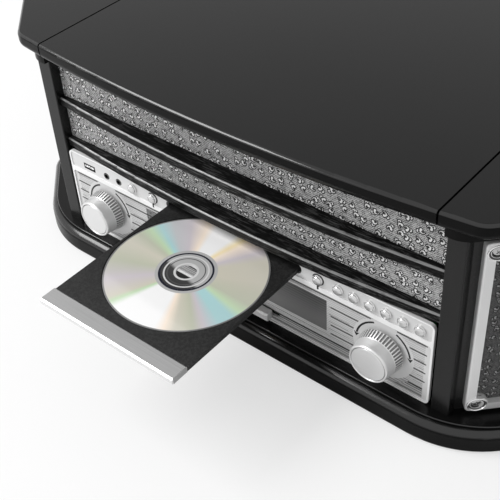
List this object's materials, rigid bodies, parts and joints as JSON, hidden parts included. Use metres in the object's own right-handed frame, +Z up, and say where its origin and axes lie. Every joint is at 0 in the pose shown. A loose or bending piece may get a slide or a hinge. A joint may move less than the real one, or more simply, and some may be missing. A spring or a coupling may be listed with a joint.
{
  "type": "turntable music system",
  "caption": "Black wooden music centre with hinged lid over a belt drive turntable, motorised disc tray, silver control fascia and corner speakers.",
  "frame": {"origin": "centre of the plinth's footprint, on the underside that stands on a table", "axes": "+X to the right, +Y to the back, +Z up; the fascia and the disc tray face -Y"},
  "size_m": [0.54, 0.4775, 0.1985],
  "materials": {
    "black_wood": "black stained wood, satin lacquer",
    "lid_black": "black satin lacquer",
    "speaker_cloth": "woven silver grey speaker cloth",
    "silver_plastic": "silver painted plastic",
    "chrome_knob": "turned and bright anodised",
    "satin_aluminium": "brushed and chamfered",
    "black_plastic": "fine spark eroded grain",
    "smoked_lens": "smoked acrylic",
    "disc_mirror": "iridescent data side up",
    "rubber_black": "matt rubber",
    "circuit_green": "printed circuit board",
    "steel_parts": "plated steel",
    "speaker_paper": "paper cone on a pressed frame",
    "white_nylon": "nylon",
    "gear_nylon": "nylon gear"
  },
  "bodies": {
    "cabinet": {"base_plinth": "black_wood", "bottom_board": "black_wood", "rubber_feet": "rubber_black", "corner_posts": "black_wood", "left_speaker_box": "black_wood", "right_speaker_box": "black_wood", "left_grille_frame": "silver_plastic", "right_grille_frame": "silver_plastic", "side_cloths": "speaker_cloth", "grille_screws": "steel_parts", "speakers": "speaker_paper", "front_baffle": "black_wood", "front_cloth": "speaker_cloth", "lower_rail": "black_wood", "upper_rail": "black_wood", "left_cap": "lid_black", "right_cap": "lid_black", "back_panel": "black_wood", "mains_inlet": "black_plastic", "line_sockets": "black_plastic", "control_fascia": "silver_plastic", "display_lens": "smoked_lens", "control_board": "circuit_green", "front_sockets": "steel_parts", "loader_chassis": "black_plastic", "disc_clamp": "white_nylon", "main_board": "circuit_green", "power_transformer": "steel_parts", "deck_plate": "black_plastic", "platter_motor": "steel_parts", "drive_belt": "rubber_black", "tonearm_base": "black_plastic", "deck_brackets": "black_plastic", "hinge_base_leaves": "steel_parts"},
    "lid": {"lid": "lid_black", "hinge_lid_leaves": "steel_parts"},
    "tray": {"disc_tray": "black_plastic", "tray_bar": "satin_aluminium"},
    "disc_spin": {"disc": "disc_mirror"},
    "pinion": {"loader_pinion": "gear_nylon"},
    "volume": {"volume_knob": "chrome_knob"},
    "tuning": {"tuning_knob": "chrome_knob"},
    "mode": {"mode_button": "silver_plastic"},
    "power": {"power_button": "silver_plastic"},
    "eject": {"eject_button": "silver_plastic"},
    "selector": {"function_slider": "silver_plastic"},
    "platter": {"platter": "black_plastic", "platter_mat": "rubber_black"},
    "pulley": {"motor_pulley": "white_nylon"},
    "arm_swing": {"tonearm_yoke": "black_plastic"},
    "arm_lift": {"tonearm": "black_plastic"},
    "clip": {"arm_clip": "black_plastic"},
    "cue": {"cue_lever": "black_plastic"},
    "speed": {"speed_switch": "silver_plastic"},
    "preset_1": {"preset_button_1": "silver_plastic"},
    "preset_2": {"preset_button_2": "silver_plastic"},
    "preset_3": {"preset_button_3": "silver_plastic"},
    "preset_4": {"preset_button_4": "silver_plastic"},
    "preset_5": {"preset_button_5": "silver_plastic"},
    "preset_6": {"preset_button_6": "silver_plastic"}
  },
  "joints": [
    {"name": "lid_hinge", "type": "hinge", "parent": "cabinet", "child": "lid", "pos_m": [0, 0.178, 0.1865], "axis": [-1, 0, 0], "range_deg": [0, 70]},
    {"name": "tray_slide", "type": "slide", "parent": "cabinet", "child": "tray", "axis": [0, 1, 0], "range_m": [0, 0.128]},
    {"name": "disc_turn", "type": "hinge", "parent": "tray", "child": "disc_spin", "pos_m": [0, -0.2139, 0.089], "axis": [0, 0, 1], "continuous": true},
    {"name": "pinion_turn", "type": "hinge", "parent": "cabinet", "child": "pinion", "pos_m": [-0.0697, -0.1435, 0.087], "axis": [0, 0, 1], "continuous": true},
    {"name": "volume_turn", "type": "hinge", "parent": "cabinet", "child": "volume", "pos_m": [-0.135, -0.1735, 0.0532], "axis": [0, -1, 0], "continuous": true},
    {"name": "tuning_turn", "type": "hinge", "parent": "cabinet", "child": "tuning", "pos_m": [0.135, -0.1735, 0.0532], "axis": [0, -1, 0], "continuous": true},
    {"name": "preset_1_press", "type": "slide", "parent": "cabinet", "child": "preset_1", "axis": [0, 1, 0], "range_m": [0, 0.001], "stiffness_N_per_m": 500},
    {"name": "preset_2_press", "type": "slide", "parent": "cabinet", "child": "preset_2", "axis": [0, 1, 0], "range_m": [0, 0.001], "stiffness_N_per_m": 500},
    {"name": "preset_3_press", "type": "slide", "parent": "cabinet", "child": "preset_3", "axis": [0, 1, 0], "range_m": [0, 0.001], "stiffness_N_per_m": 500},
    {"name": "preset_4_press", "type": "slide", "parent": "cabinet", "child": "preset_4", "axis": [0, 1, 0], "range_m": [0, 0.001], "stiffness_N_per_m": 500},
    {"name": "preset_5_press", "type": "slide", "parent": "cabinet", "child": "preset_5", "axis": [0, 1, 0], "range_m": [0, 0.001], "stiffness_N_per_m": 500},
    {"name": "preset_6_press", "type": "slide", "parent": "cabinet", "child": "preset_6", "axis": [0, 1, 0], "range_m": [0, 0.001], "stiffness_N_per_m": 500},
    {"name": "mode_press", "type": "slide", "parent": "cabinet", "child": "mode", "axis": [0, 1, 0], "range_m": [0, 0.001], "stiffness_N_per_m": 500},
    {"name": "power_press", "type": "slide", "parent": "cabinet", "child": "power", "axis": [0, 1, 0], "range_m": [0, 0.001], "stiffness_N_per_m": 500},
    {"name": "eject_press", "type": "slide", "parent": "cabinet", "child": "eject", "axis": [0, 1, 0], "range_m": [0, 0.001], "stiffness_N_per_m": 500},
    {"name": "selector_slide", "type": "slide", "parent": "cabinet", "child": "selector", "axis": [-1, 0, 0], "range_m": [0, 0.056]},
    {"name": "platter_turn", "type": "hinge", "parent": "cabinet", "child": "platter", "pos_m": [-0.014, 0.0065, 0.16], "axis": [0, 0, 1], "continuous": true},
    {"name": "pulley_turn", "type": "hinge", "parent": "cabinet", "child": "pulley", "pos_m": [-0.089, 0.0815, 0.153], "axis": [0, 0, 1], "continuous": true},
    {"name": "arm_swing_turn", "type": "hinge", "parent": "cabinet", "child": "arm_swing", "pos_m": [0.143, 0.1045, 0.16], "axis": [0, 0, -1], "range_deg": [0, 43]},
    {"name": "arm_lift_turn", "type": "hinge", "parent": "arm_swing", "child": "arm_lift", "pos_m": [0.143, 0.1045, 0.172], "axis": [-1, 0, 0], "range_deg": [0, 5]},
    {"name": "clip_turn", "type": "hinge", "parent": "cabinet", "child": "clip", "pos_m": [0.1518, -0.0605, 0.1785], "axis": [0, -1, 0], "range_deg": [0, 90]},
    {"name": "cue_turn", "type": "hinge", "parent": "cabinet", "child": "cue", "pos_m": [0.157, 0.0705, 0.156], "axis": [-1, 0, 0], "range_deg": [0, 40]},
    {"name": "speed_slide", "type": "slide", "parent": "cabinet", "child": "speed", "axis": [0, 1, 0], "range_m": [0, 0.008]}
  ],
  "couplings": [
    {"joint": "pinion_turn", "follows": "tray_slide", "rad_per_m": 125},
    {"joint": "pulley_turn", "follows": "platter_turn", "ratio": 15.5}
  ]
}
